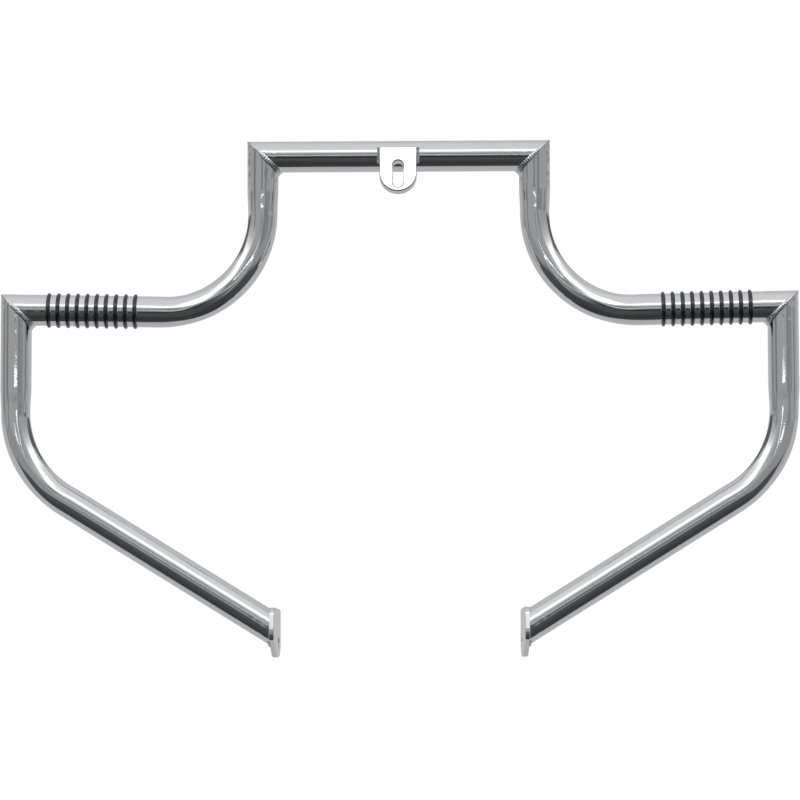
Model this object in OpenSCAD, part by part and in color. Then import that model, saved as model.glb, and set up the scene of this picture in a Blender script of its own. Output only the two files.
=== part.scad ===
// Motorcycle crash bar: a mitred and bent tube frame with a slotted centre tab, two end tabs
// and rubber foot rings. Lengths in millimetres, angles in degrees.
//
// Frame: the origin is the middle of the centre tab's slot, on the tab's back face.
// +X points to the right seen from the front, +Y back towards the motorcycle, +Z up.
// All tube centrelines lie in one upright plane. Points in that plane are written [x, z],
// measured from the middle of the crossbar, and angles run from +X towards +Z.

/* [Tube] */
// Outside diameter of every tube
tube_d = 31.75; // [26:0.25:36]
// Wall thickness of every tube
tube_wall = 3; // [2.6:0.1:5]
// Loss of diameter in the bends, where the tube is drawn thinner
bend_loss = 2; // [0.4:0.1:2.6]
// Length over which an upright narrows towards its bend
bend_taper = 25; // [10:1:26]
// Length over which an arm or a strut widens again after its bend
bend_flare = 9; // [6:1:26]

/* [Crossbar and arms] */
// Distance between the centrelines of the two shoulder tubes
shoulder_span = 279; // [240:1:310]
// Drop from the crossbar to the outer corners
arm_drop = 157; // [140:1:190]
// Rise of the arms towards the outer corners
arm_rise = 1.1; // [0:0.1:4]
// Centreline radius of the shoulder bends
shoulder_bend_r = 100.5; // [70:0.5:105]

/* [Legs] */
// Distance between the centrelines of the two upright legs
leg_span = 785; // [770:1:900]
// Upright length of a leg, from the outer corner to its bend
leg_straight = 105; // [60:0.5:160]
// Centreline radius of the leg bends
leg_bend_r = 106; // [70:1:120]
// Slope of the struts below the bends
strut_slope = 31.8; // [20:0.1:40]
// Distance between the cut ends of the two struts
end_span = 263; // [200:1:300]

/* [Centre tab] */
// Width of the tab, also the diameter of its round lower end
tab_w = 38; // [34:0.5:50]
// Thickness of the tab
tab_t = 9.5; // [6:0.5:13]
// Lean of the tab, its lower end forwards
tab_tilt = 13; // [5:1:20]
// Height of the tab's top edge above the middle of the slot
tab_top = 30; // [28:0.5:36]
// Height of the crossbar's line of contact above the middle of the slot
tab_contact = 29; // [22:0.5:29]
// Width of the slot
slot_w = 10.5; // [8:0.5:13]
// Length of the slot, end to end
slot_l = 29; // [20:0.5:30]
// Bevel round the slot and the front of the tab
tab_bevel = 0.8; // [0.4:0.1:1.2]

/* [End tabs] */
// Thickness of the end tabs
end_tab_t = 5.3; // [4:0.1:8]
// Depth of an end tab, front to back
end_tab_depth = 60; // [56:1:75]
// Height of the end tab's top edge above the top of the strut's cut end
end_tab_lip = 1; // [0.5:0.5:4]
// Depth of the end tab's lower edge below the middle of the strut
end_tab_drop = 30; // [27:0.5:40]
// Distance from the end tab's front edge back to the start of its lower edge
end_tab_foot = 28; // [20:1:34]
// Radius of the end tab's two front corners, which follow the strut's round end
end_brow_r = 18; // [10:1:18]
// Depth of the end tab's front corner below the middle of the strut
end_nose_drop = 13; // [12:0.5:16]
// Radius of the end tab's small corners
end_corner_r = 4; // [2:0.5:5]
// Toe-in of the end tabs towards the back
end_tab_toe = 4; // [0:0.5:8]
// Diameter of the bolt hole in an end tab
end_hole_d = 10.5; // [8:0.5:13]
// Distance from the bolt hole's centre to the tab's back and lower edges
end_hole_edge = 16; // [13:0.5:18]

/* [Foot rings] */
// Number of rings on each arm
ring_count = 10; // [1:1:10]
// Spacing of the rings
ring_pitch = 9.85; // [6:0.05:10.5]
// Distance from the outer corner to the outermost ring
ring_inset = 33.8; // [30:0.1:45]
// Diameter of the ring's rubber cord
ring_cord = 3.6; // [3:0.1:4.2]
// Height by which a ring stands out of the arm
ring_proud = 2; // [1.7:0.1:2.5]
// Clearance between a ring and its groove
ring_clearance = 0.05; // [0.02:0.01:0.15]

/* [Welds] */
// Width of the dressed bead along a mitre
bead_w = 3.5; // [2:0.1:5]
// Height of the dressed bead above the tubes
bead_h = 0.35; // [0.2:0.05:0.8]
// Leg of the fillet in a mitre's inner corner
corner_leg = 4.6; // [2:0.1:7]
// Leg of the fillet round the centre tab
tab_weld_leg = 2.7; // [1.5:0.1:4]
// Length of the centre tab's side welds
tab_weld_l = 13; // [8:0.5:14]
// Width and height of the bead round a strut's end
end_bead = 1.8; // [1:0.1:3]

/* [Hidden] */
$fn = 96;
tube_r = tube_d / 2;
bore_r = tube_r - tube_wall;
// Length of cutters past the faces that they cut
over = 1;
// Length by which a straight tube runs into the bend beside it, and its spare radius there
lap = 0.1;
seam = 0.05;
// Extra length of a tube before its end is cut, and half the width of a cutter that takes it off
spare = 1.5 * tube_d;
cutter = 2.5 * tube_d;
// Radius at which the fillet turns round in a mitre's inner corner, as a share of the tube's
corner_round = 0.65;

// Corners where the centrelines meet, and the two bend centres, on the right half
top_corner = [shoulder_span / 2, 0];
outer_corner = [leg_span / 2, -arm_drop];
shoulder_centre_x = top_corner.x + shoulder_bend_r;
arm_z_there = outer_corner.y - (outer_corner.x - shoulder_centre_x) * tan(arm_rise);
shoulder_centre = [shoulder_centre_x, arm_z_there + shoulder_bend_r / cos(arm_rise)];
leg_centre = [outer_corner.x - leg_bend_r, outer_corner.y - leg_straight];

// Directions in which the tubes leave their corners
down = 270;
outward = arm_rise;
inward = 180 + arm_rise;
strut_dir = 180 + strut_slope;
shoulder_turn = 90 + arm_rise;
leg_turn = 90 - strut_slope;
shoulder_bend_end = polar(shoulder_centre, shoulder_bend_r, down + arm_rise);
leg_bend_end = polar(leg_centre, leg_bend_r, -leg_turn);

// Middle of the strut's cut end, and half the height of the ellipse that the cut makes
end_x = end_span / 2;
end_point = [end_x, leg_bend_end.y - (leg_bend_end.x - end_x) * tan(strut_slope)];
end_half_h = tube_r / cos(strut_slope);

// Place of the bar's plane: the crossbar touches the leaning tab's back face
bar_y = tab_contact * sin(tab_tilt) + tube_r * cos(tab_tilt);
bar_z = tab_contact * cos(tab_tilt) - tube_r * sin(tab_tilt);

tab_r = tab_w / 2;
slot_half = (slot_l - slot_w) / 2;

// Outline of an end tab, [y, z] from the middle of the strut's cut end
end_front = -tube_r;
end_back = end_front + end_tab_depth;
end_top = end_half_h + end_tab_lip;
end_foot = end_front + end_tab_foot;
end_hole = [end_back - end_hole_edge, end_hole_edge - end_tab_drop];
END_CORNERS = [
    [end_front, -end_nose_drop], [end_foot, -end_tab_drop], [end_back, -end_tab_drop],
    [end_back, end_top], [end_front, end_top]
];
END_RADII = [end_brow_r, end_corner_r, end_hole_edge, end_corner_r, end_brow_r];

// Radius of a seated ring's cord centre
ring_r = tube_r + ring_proud - ring_cord / 2;

SIDES = ["left", "right"];
RINGS = [for (i = [1 : ring_count]) i];

function ring_name(side, i) = str(side, "_o_ring_", i < 10 ? "0" : "", i);
function polar(c, r, a) = c + r * unit_dir(a);
function unit(v) = v / norm(v);
function unit_dir(a) = [cos(a), sin(a)];

// Puts children into the plane of the bar, on the named side
module bar(side = "right") {
    mirror([side == "left" ? 1 : 0, 0, 0])
        translate([0, bar_y, bar_z])
            children();
}

// Puts children at point p, with their +X turned to direction a in the plane of the bar
module at(p, a = 0) {
    translate([p.x, 0, p.y])
        rotate([0, -a, 0])
            children();
}

// Round bar from p towards direction a
module rod(p, a, length, r) {
    at(p, a)
        rotate([0, 90, 0])
            cylinder(r = r, h = length);
}

// Round bar from p, the end of a bend, towards direction a, narrowed over its first taper
module tapered_rod(p, a, length, r, taper) {
    narrow_r = r - bend_loss / 2 + seam;
    at(p, a)
        rotate([0, 90, 0])
            rotate_extrude()
                polygon([[0, -lap], [narrow_r, -lap], [r, taper], [r, length], [0, length]]);
}

// Bent round bar about centre c, from direction a through turn, thinner than the straight bar
module elbow(c, bend_r, a, turn, r) {
    translate([c.x, 0, c.y])
        rotate([90, 0, 0])
            rotate([0, 0, a])
                rotate_extrude(angle = turn)
                    translate([bend_r, 0])
                        circle(r = r - bend_loss / 2);
}

// Block to the left of the line through p in direction a, which cuts a tube there
module left_of(p, a) {
    at(p, a)
        translate([-cutter, -cutter, 0])
            cube([2 * cutter, 2 * cutter, cutter]);
}

// Straight upright, bend and arm of the right shoulder, with its ends long
module shoulder_path(r) {
    arm_l = norm(outer_corner - shoulder_bend_end) + spare;
    tapered_rod([top_corner.x, shoulder_centre.y], 90, spare - shoulder_centre.y, r, bend_taper);
    elbow(shoulder_centre, shoulder_bend_r, 180, shoulder_turn, r);
    tapered_rod(shoulder_bend_end, outward, arm_l, r, bend_flare);
}

// Straight upright, bend and strut of the right leg, with its ends long
module leg_path(r) {
    strut_l = norm(leg_bend_end - end_point) + spare;
    tapered_rod([outer_corner.x, leg_centre.y], 90, leg_straight + spare, r, bend_taper);
    elbow(leg_centre, leg_bend_r, -leg_turn, leg_turn, r);
    tapered_rod(leg_bend_end, strut_dir, strut_l, r, bend_flare);
}

// Turns children to lie on the end tab's outer face: +X outwards, +Y back, +Z up
module on_end_tab() {
    translate([end_point.x, 0, end_point.y])
        rotate([0, 0, end_tab_toe])
            children();
}

// Places children round the arm at ring i, with +Z along the arm
module at_ring(i) {
    at(polar(outer_corner, ring_inset + (i - 1) * ring_pitch, inward), inward)
        rotate([0, 90, 0])
            children();
}

// Flat outline with rounded corners, from its sharp corners and a radius for each
module rounded_outline(corners, radii) {
    n = len(corners);
    before = [for (i = [0 : n - 1]) unit(corners[(i + n - 1) % n] - corners[i])];
    after = [for (i = [0 : n - 1]) unit(corners[(i + 1) % n] - corners[i])];
    half_angle = [for (i = [0 : n - 1]) acos(before[i] * after[i]) / 2];
    polygon([for (i = [0 : n - 1], way = [before[i], after[i]])
        corners[i] + way * radii[i] / tan(half_angle[i])]);
    for (i = [0 : n - 1])
        translate(corners[i] + unit(before[i] + after[i]) * radii[i] / sin(half_angle[i]))
            circle(r = radii[i]);
}

module crossbar() {
    color("silver")
        bar()
            difference() {
                rod(-top_corner - [spare, 0], 0, shoulder_span + 2 * spare, tube_r);
                rod(-top_corner - [cutter, 0], 0, shoulder_span + 2 * cutter, bore_r);
                left_of(top_corner, 225);
                left_of(-top_corner, 135);
            }
}

module shoulder_tube(side) {
    color("silver")
        bar(side)
            difference() {
                shoulder_path(tube_r);
                shoulder_path(bore_r);
                left_of(top_corner, 45);
                left_of(outer_corner, (inward + down) / 2);
                for (i = RINGS)
                    at_ring(i)
                        rotate_extrude()
                            translate([ring_r, 0])
                                circle(r = ring_cord / 2 + ring_clearance);
            }
}

module leg_tube(side) {
    color("silver")
        bar(side)
            difference() {
                leg_path(tube_r);
                leg_path(bore_r);
                left_of(outer_corner, (inward + down) / 2 - 180);
                on_end_tab()
                    translate([-cutter, -cutter, -cutter])
                        cube([cutter, 2 * cutter, 2 * cutter]);
            }
}

module o_ring(side, i) {
    color("#1c1c1c")
        bar(side)
            at_ring(i)
                rotate_extrude()
                    translate([ring_r, 0])
                        circle(r = ring_cord / 2);
}

// Stands a flat outline up: its X goes to +Y, its Y to +Z and its height to +X
module upright() {
    rotate([90, 0, 90])
        children();
}

module end_tab(side) {
    color("silver")
        bar(side)
            on_end_tab()
                translate([-end_tab_t, 0, 0])
                    upright()
                        difference() {
                            linear_extrude(end_tab_t)
                                rounded_outline(END_CORNERS, END_RADII);
                            translate([end_hole.x, end_hole.y, -over])
                                cylinder(d = end_hole_d, h = end_tab_t + 2 * over);
                        }
}

// Bead round the strut where it stands on the end tab, dressed flush with the tab's edge
module end_tab_weld(side) {
    color("gainsboro")
        bar(side)
            intersection() {
                difference() {
                    rod(end_point - spare * unit_dir(strut_dir), strut_dir, 2 * spare, tube_r + end_bead);
                    rod(end_point - cutter * unit_dir(strut_dir), strut_dir, 2 * cutter, tube_r);
                    on_end_tab() {
                        translate([-cutter, -cutter, -cutter])
                            cube([cutter, 2 * cutter, 2 * cutter]);
                        translate([end_bead, -cutter, -cutter])
                            cube([cutter, 2 * cutter, 2 * cutter]);
                        translate([-over, -cutter, -cutter])
                            cube([cutter, cutter + end_front / 2, 2 * cutter]);
                    }
                }
                on_end_tab()
                    translate([-over, 0, 0])
                        upright()
                            linear_extrude(end_bead + 2 * over)
                                rounded_outline(END_CORNERS, END_RADII);
            }
}

// Round lower end and square upper end of the centre tab, [x, z] seen from the front
module tab_outline() {
    circle(r = tab_r);
    translate([-tab_r, 0])
        square([tab_w, tab_top]);
}

// Lays children on the centre tab: +X across, +Y back through it, +Z up along it
module on_tab() {
    rotate([-tab_tilt, 0, 0])
        children();
}

// Slot-shaped cutter from the back of the tab forwards, its front opened out by the bevel
module slot_cutter() {
    mouth = slot_w / 2 + tab_bevel + over;
    neck = slot_w / 2;
    for (z = [-slot_half, slot_half])
        translate([0, 0, z])
            rotate([90, 0, 0]) {
                translate([0, 0, -over])
                    cylinder(r = neck, h = tab_t + 2 * over);
                translate([0, 0, tab_t - tab_bevel])
                    cylinder(r1 = neck, r2 = mouth, h = tab_bevel + over);
            }
    translate([0, 0, -slot_half])
        linear_extrude(2 * slot_half)
            polygon([
                [-neck, over], [neck, over], [neck, tab_bevel - tab_t], [mouth, -tab_t - over],
                [-mouth, -tab_t - over], [-neck, tab_bevel - tab_t]
            ]);
}

module centre_mount_tab() {
    bevel_start = tab_bevel - tab_t;
    color("silver")
        on_tab()
            difference() {
                union() {
                    rotate([90, 0, 0]) {
                        linear_extrude(-bevel_start)
                            tab_outline();
                        translate([0, 0, -bevel_start])
                            cylinder(r1 = tab_r, r2 = tab_r - tab_bevel, h = tab_bevel);
                    }
                    intersection() {
                        linear_extrude(tab_top)
                            polygon([
                                [-tab_r, bevel_start], [tab_r, bevel_start],
                                [tab_r - tab_bevel, -tab_t], [tab_bevel - tab_r, -tab_t]
                            ]);
                        translate([-tab_r, 0, 0])
                            upright()
                                linear_extrude(tab_w)
                                    polygon([
                                        [bevel_start, 0], [bevel_start, tab_top],
                                        [-tab_t, tab_top - tab_bevel], [-tab_t, 0]
                                    ]);
                    }
                }
                slot_cutter();
            }
}

// Fillet between the crossbar and the centre tab, along the tab's sides and over its top
module centre_tab_weld() {
    half_w = tab_r + tab_weld_leg;
    low = tab_top - tab_weld_l;
    high = tab_top + tab_weld_leg;
    color("gainsboro")
        on_tab()
            difference() {
                intersection() {
                    translate([0, 0, low])
                        linear_extrude(high - low)
                            polygon([
                                [-tab_r, -tab_weld_leg], [tab_r, -tab_weld_leg],
                                [half_w, 0], [half_w, tube_r], [-half_w, tube_r], [-half_w, 0]
                            ]);
                    translate([-half_w, 0, 0])
                        upright()
                            linear_extrude(2 * half_w)
                                polygon([
                                    [-tab_weld_leg, low], [tube_r, low], [tube_r, high],
                                    [0, high], [-tab_weld_leg, tab_top]
                                ]);
                }
                translate([-tab_r, -tab_t, 0])
                    cube([tab_w, tab_t + tube_d, tab_top]);
                translate([-cutter, tube_r, tab_contact])
                    rotate([0, 90, 0])
                        cylinder(r = tube_r, h = 2 * cutter);
            }
}

// Two round bars of radius r that leave a mitred corner, with the corner's inside towards +X.
// half is the angle between each bar and the mitre.
module corner_bars(half, r) {
    for (way = [-1, 1])
        difference() {
            rod(-spare * unit_dir(way * half), way * half, 2 * spare, r);
            left_of([0, 0], way > 0 ? 180 : 0);
        }
}

// Dressed bead round the inner half of a mitre, with a fillet in the inner corner.
// The bars leave point p in directions first and second.
module mitre_weld(p, first, second) {
    half = (second - first) / 2;
    inner_end = tube_r / sin(half);
    turn_r = corner_round * tube_r * sin(half);
    at(p, (first + second) / 2)
        difference() {
            union() {
                intersection() {
                    corner_bars(half, tube_r + bead_h);
                    translate([-bead_w, -cutter, -bead_w / 2])
                        cube([cutter, 2 * cutter, bead_w]);
                }
                intersection() {
                    translate([inner_end - turn_r, 0, 0])
                        rotate([0, 0, -90])
                            rotate_extrude(angle = 180)
                                translate([turn_r, 0])
                                    circle(r = corner_leg);
                    translate([0, -cutter / 2, -cutter / 2])
                        cube([inner_end + corner_leg * cos(half), cutter, cutter]);
                }
            }
            corner_bars(half, tube_r);
        }
}

module top_corner_weld(side) {
    color("gainsboro")
        bar(side)
            mitre_weld(top_corner, 180, down);
}

module outer_corner_weld(side) {
    color("gainsboro")
        bar(side)
            mitre_weld(outer_corner, inward, down);
}

crossbar();
centre_mount_tab();
centre_tab_weld();
for (s = SIDES) {
    shoulder_tube(s);
    leg_tube(s);
    end_tab(s);
    top_corner_weld(s);
    outer_corner_weld(s);
    end_tab_weld(s);
    for (i = RINGS) {
        o_ring(s, i);
    }
}
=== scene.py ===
"""Looks of a chromed motorcycle crash bar: mitred bent tubes, dressed welds, tabs and foot rings.

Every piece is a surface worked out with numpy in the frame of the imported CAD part, in metres:
the origin is the middle of the centre tab's slot, +X is right seen from the front, +Y back, +Z up.
"""

import logging
import math
from dataclasses import dataclass
from enum import Enum
from typing import Optional, Union

import bmesh
import bpy
import numpy as np
from mathutils import Matrix, Vector


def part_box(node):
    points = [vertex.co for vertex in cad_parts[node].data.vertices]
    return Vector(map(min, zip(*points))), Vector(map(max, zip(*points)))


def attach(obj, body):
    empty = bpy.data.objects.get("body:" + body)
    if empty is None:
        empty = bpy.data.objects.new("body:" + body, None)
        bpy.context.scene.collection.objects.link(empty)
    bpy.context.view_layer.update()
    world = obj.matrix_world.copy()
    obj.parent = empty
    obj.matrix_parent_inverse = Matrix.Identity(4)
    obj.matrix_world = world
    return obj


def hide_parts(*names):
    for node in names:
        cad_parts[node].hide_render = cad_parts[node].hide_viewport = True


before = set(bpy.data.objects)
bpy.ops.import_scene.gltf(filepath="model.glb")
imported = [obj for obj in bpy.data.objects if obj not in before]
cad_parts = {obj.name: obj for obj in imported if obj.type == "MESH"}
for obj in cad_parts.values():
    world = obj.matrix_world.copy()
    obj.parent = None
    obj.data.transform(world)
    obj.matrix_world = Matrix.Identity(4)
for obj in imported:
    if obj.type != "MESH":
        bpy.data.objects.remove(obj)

log = logging.getLogger("crash_bar")
MM = 0.001
FULL_TURN = 2 * math.pi
Array = np.ndarray
Material = bpy.types.Material
Socket = bpy.types.NodeSocket
Input = Union[float, Socket]
Pair = tuple[float, float]
Triple = tuple[float, float, float]


class Side(Enum):
    """The two mirrored halves of the bar, with the sign of X on each."""

    LEFT = -1
    RIGHT = 1

    @property
    def word(self) -> str:
        """The side's word in piece and node names."""
        return self.name.lower()


# Meshes


@dataclass
class Surface:
    """A grid of points P[i, j] in metres, with the exact normal at each point where it is known.

    i runs along the piece and j round it. j always closes on itself. i does too in a ring, and
    otherwise each of its ends is closed with a fan of flat triangles.
    """

    points: Array
    normals: Optional[Array] = None
    ring: bool = False

    def faces(self) -> tuple[Array, Array]:
        """Quads between neighbouring grid points, and the triangles that close the ends.

        Returns:
            The quads as rows of four vertex numbers, and the triangles as rows of three.
        """
        n, m = self.points.shape[:2]
        number = np.arange(n * m).reshape(n, m)
        if self.ring:
            number = np.vstack([number, number[:1]])
        number = np.hstack([number, number[:, :1]])
        quads = np.stack(
            [number[:-1, :-1], number[1:, :-1], number[1:, 1:], number[:-1, 1:]], axis=-1
        ).reshape(-1, 4)
        if self.ring:
            return quads, np.zeros((0, 3), int)
        first, last = number[0], number[-1]
        opening = np.stack([np.full(m, n * m), first[:-1], first[1:]], axis=-1)
        closing = np.stack([np.full(m, n * m + 1), last[1:], last[:-1]], axis=-1)
        return quads, np.vstack([opening, closing])

    def build(self, name: str, material: Material) -> bpy.types.Object:
        """Makes the mesh object at the origin, with its faces pointing outwards.

        Args:
            name: The piece's name.
            material: Its finish.

        Returns:
            The linked object.
        """
        vertices = self.points.reshape(-1, 3)
        if not self.ring:
            vertices = np.vstack([vertices, self.points[0].mean(0), self.points[-1].mean(0)])
        quads, caps = self.faces()
        if self.normals is not None:
            corner = vertices[quads]
            across = np.cross(corner[:, 2] - corner[:, 0], corner[:, 3] - corner[:, 1])
            wanted = self.normals.reshape(-1, 3)[quads].mean(1)
            if (across * wanted).sum() < 0:
                quads, caps = quads[:, ::-1], caps[:, ::-1]
        mesh = bpy.data.meshes.new(name)
        mesh.from_pydata(vertices.tolist(), [], quads.tolist() + caps.tolist())
        mesh.polygons.foreach_set("use_smooth", np.ones(len(quads) + len(caps), bool))
        mesh.update()
        if self.normals is None:
            outward(mesh)
        else:
            at_vertex = np.zeros((len(vertices), 3))
            at_vertex[: self.normals.size // 3] = self.normals.reshape(-1, 3)
            per_loop = at_vertex[np.concatenate([quads.ravel(), caps.ravel()])]
            per_loop[quads.size :] = 0
            mesh.normals_split_custom_set(per_loop.tolist())
        return placed(name, mesh, material)


def outward(mesh: bpy.types.Mesh) -> None:
    """Turns the faces of a closed mesh outwards.

    Args:
        mesh: The mesh to mend.
    """
    edit = bmesh.new()
    edit.from_mesh(mesh)
    bmesh.ops.recalc_face_normals(edit, faces=edit.faces)
    edit.to_mesh(mesh)
    edit.free()


def placed(name: str, mesh: bpy.types.Mesh, material: Material) -> bpy.types.Object:
    """Gives a mesh its finish and puts it in the scene.

    Args:
        name: The object's name.
        mesh: The mesh.
        material: Its finish.

    Returns:
        The linked object.
    """
    mesh.materials.append(material)
    made = bpy.data.objects.new(name, mesh)
    bpy.context.scene.collection.objects.link(made)
    return made


def unit(vectors: Array) -> Array:
    """Vectors scaled to length one, along the last axis."""
    return vectors / np.linalg.norm(vectors, axis=-1, keepdims=True)


def compass(angle: Array) -> Array:
    """The unit vectors (cos a, sin a) at angles in radians."""
    return np.stack([np.cos(angle), np.sin(angle)], axis=-1)


def heading(degrees: float) -> Array:
    """The unit vector (cos a, sin a) at an angle in degrees from +X towards +Z."""
    return compass(np.radians(degrees))


def smooth(values: Array) -> Array:
    """The smooth step 3v^2 - 2v^3 of values v held between 0 and 1."""
    held = np.clip(values, 0, 1)
    return held * held * (3 - 2 * held)


def turns(count: int) -> Array:
    """This many angles spread evenly over one turn, starting at 0."""
    return np.linspace(0, FULL_TURN, count, endpoint=False)


def spans(*parts: tuple[float, float, int]) -> Array:
    """Rising distances without repeats, spread evenly over each (first, last, count)."""
    return np.unique(np.concatenate([np.linspace(*part) for part in parts]))


def mirrored(plane: Array, depth: Array, side: Side) -> Array:
    """Vectors (x, z) of the bar's plane and their y, as (x, y, z) on one half of the bar."""
    return np.stack([plane[..., 0] * side.value, depth, plane[..., 1]], axis=-1)


# Finishes


class Nodes:
    """A short way to write a material's or the world's node tree."""

    def __init__(self, owner: bpy.types.ID) -> None:
        """Empties the owner's tree.

        Args:
            owner: The material or world whose tree is to be filled.
        """
        owner.use_nodes = True
        self.tree = owner.node_tree
        self.tree.nodes.clear()

    def add(self, kind: str, settings: Optional[dict] = None, **inputs) -> bpy.types.Node:
        """Adds one node.

        Args:
            kind: The node's type.
            settings: Its properties by name.
            **inputs: Its sockets, by name with _ for a space or as i and a number, each as a
                value or as the socket to link.

        Returns:
            The node.
        """
        node = self.tree.nodes.new(kind)
        for name, value in (settings or {}).items():
            setattr(node, name, value)
        for name, value in inputs.items():
            by_number = name[0] == "i" and name[1:].isdigit()
            socket = node.inputs[int(name[1:]) if by_number else name.replace("_", " ")]
            if isinstance(value, Socket):
                self.tree.links.new(value, socket)
            else:
                socket.default_value = value
        return node

    def math(self, operation: str, a: Input, b: Input = 0.0) -> Socket:
        """The result of a Math node."""
        return self.add("ShaderNodeMath", {"operation": operation}, i0=a, i1=b).outputs[0]

    def product(self, first: Input, *others: Input) -> Socket:
        """Values multiplied together.

        Args:
            first: The first value.
            *others: The others.

        Returns:
            Their product.
        """
        for other in others:
            first = self.math("MULTIPLY", first, other)
        return first

    def spread(self, value: Input, low: float, high: float, start: float, end: float) -> Socket:
        """A value carried by a smooth step from one range to another, and held at the ends.

        Args:
            value: The value.
            low: Where the step starts.
            high: Where it ends.
            start: The result up to low.
            end: The result from high on.

        Returns:
            The result.
        """
        settings = {"interpolation_type": "SMOOTHSTEP"}
        ends = {"From_Min": low, "From_Max": high, "To_Min": start, "To_Max": end}
        return self.add("ShaderNodeMapRange", settings, Value=value, **ends).outputs["Result"]

    def window(self, value: Input, low: float, full: float, fall: float, high: float) -> Socket:
        """A share that is 1 from full to fall, and 0 below low and above high."""
        rise = self.spread(value, low, full, 0, 1)
        return self.product(rise, self.spread(value, fall, high, 1, 0))

    def noise(self, place: Socket, scale: float, detail: float) -> Socket:
        """The grey value of a Noise texture with this many waves in a metre."""
        settings = {"Scale": scale, "Detail": detail, "Roughness": 0.55}
        return self.add("ShaderNodeTexNoise", {}, Vector=place, **settings).outputs["Fac"]

    def blend(self, share: Input, first: Input, second: Input) -> Socket:
        """A mix of two values, first where share is 0 and second where it is 1."""
        kind = {"data_type": "FLOAT"}
        return self.add("ShaderNodeMix", kind, i0=share, i2=first, i3=second).outputs[0]

    def tint(self, share: Input, first: Triple, second: Triple) -> Socket:
        """A mix of two colours, first where share is 0 and second where it is 1."""
        kind = {"data_type": "RGBA"}
        return self.add("ShaderNodeMix", kind, i0=share, i6=(*first, 1), i7=(*second, 1)).outputs[2]

    def bump(self, height: Socket) -> Socket:
        """The normal of a surface raised by a height in metres."""
        bump = self.add("ShaderNodeBump", {}, Height=height, Distance=1.0, Strength=1.0)
        return bump.outputs["Normal"]

    def surface(self, **inputs) -> None:
        """Ends a material's tree with a Principled shader."""
        shader = self.add("ShaderNodeBsdfPrincipled", {}, **inputs)
        self.add("ShaderNodeOutputMaterial", {}, Surface=shader.outputs["BSDF"])


@dataclass(frozen=True)
class ChromeFinish:
    """Chrome plate on polished steel: a mirror with faint polishing haze, long waves and fine pits.

    haze is the range of its roughness. wave and grain are noises in its height: how many waves
    they have in a metre, and their size in metres.
    """

    name: str = "chrome_plate"
    colour: Triple = (0.80, 0.81, 0.82)
    haze: Pair = (0.012, 0.045)
    wave: Pair = (40, 0.00012)
    grain: Pair = (650, 0.000014)

    def material(self) -> Material:
        """The node material.

        Returns:
            The material.
        """
        made = bpy.data.materials.new(self.name)
        n = Nodes(made)
        place = n.add("ShaderNodeTexCoord").outputs["Object"]
        wave, grain = (
            n.math("MULTIPLY", n.noise(place, count, 1), size)
            for count, size in (self.wave, self.grain)
        )
        darker = tuple(c * 0.965 for c in self.colour)
        n.surface(
            Base_Color=n.tint(n.noise(place, 12, 2), self.colour, darker),
            Metallic=1.0,
            Roughness=n.spread(n.noise(place, 34, 4), 0.35, 0.75, *self.haze),
            Normal=n.bump(n.math("ADD", wave, grain)),
        )
        return made


@dataclass(frozen=True)
class WeldFinish(ChromeFinish):
    """Chrome plate over a dressed weld bead: the same mirror on a lumpy, pitted skin."""

    name: str = "weld_chrome_plate"
    colour: Triple = (0.78, 0.79, 0.80)
    haze: Pair = (0.03, 0.11)
    wave: Pair = (400, 0.00042)
    grain: Pair = (1300, 0.00005)


@dataclass(frozen=True)
class RoughWeldFinish(WeldFinish):
    """The darker, rougher plate over the centre tab's weld, which nobody dressed."""

    name: str = "rough_weld_plate"
    colour: Triple = (0.36, 0.36, 0.37)
    haze: Pair = (0.12, 0.3)
    wave: Pair = (420, 0.0007)


@dataclass(frozen=True)
class RubberFinish:
    """Black moulded rubber with a soft sheen, a fine grain and a trace of dust."""

    name: str = "ring_rubber"
    black: Triple = (0.0004, 0.0004, 0.0004)
    dusty: Triple = (0.002, 0.002, 0.0021)

    def material(self) -> Material:
        """The node material.

        Returns:
            The material.
        """
        made = bpy.data.materials.new(self.name)
        n = Nodes(made)
        place = n.add("ShaderNodeTexCoord").outputs["Object"]
        dust = n.spread(n.noise(place, 160, 5), 0.42, 0.72, 0.0, 1.0)
        n.surface(
            Base_Color=n.tint(dust, self.black, self.dusty),
            Roughness=n.spread(dust, 0, 1, 0.09, 0.18),
            Specular_IOR_Level=0.95,
            Normal=n.bump(n.math("MULTIPLY", n.noise(place, 1500, 3), 0.00004)),
        )
        return made


# Tubes


@dataclass(frozen=True)
class Bend:
    """A bend of a centreline in the bar's plane, in mm.

    first and last are the directions in degrees of its ends, seen from its centre.
    """

    centre: Array
    radius: float
    first: float
    last: float
    rows: int = 96

    @property
    def way(self) -> int:
        """1 where it turns anticlockwise, -1 where it turns clockwise."""
        return 1 if self.last > self.first else -1

    @property
    def length(self) -> float:
        """Its length in mm, radius x angle."""
        return self.radius * math.radians(abs(self.last - self.first))

    @property
    def end(self) -> Array:
        """Where it ends, in mm."""
        return self.centre + self.radius * heading(self.last)

    @property
    def out(self) -> Array:
        """Unit vectors away from the centre, one for each row."""
        return compass(np.radians(np.linspace(self.first, self.last, self.rows)))


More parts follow.
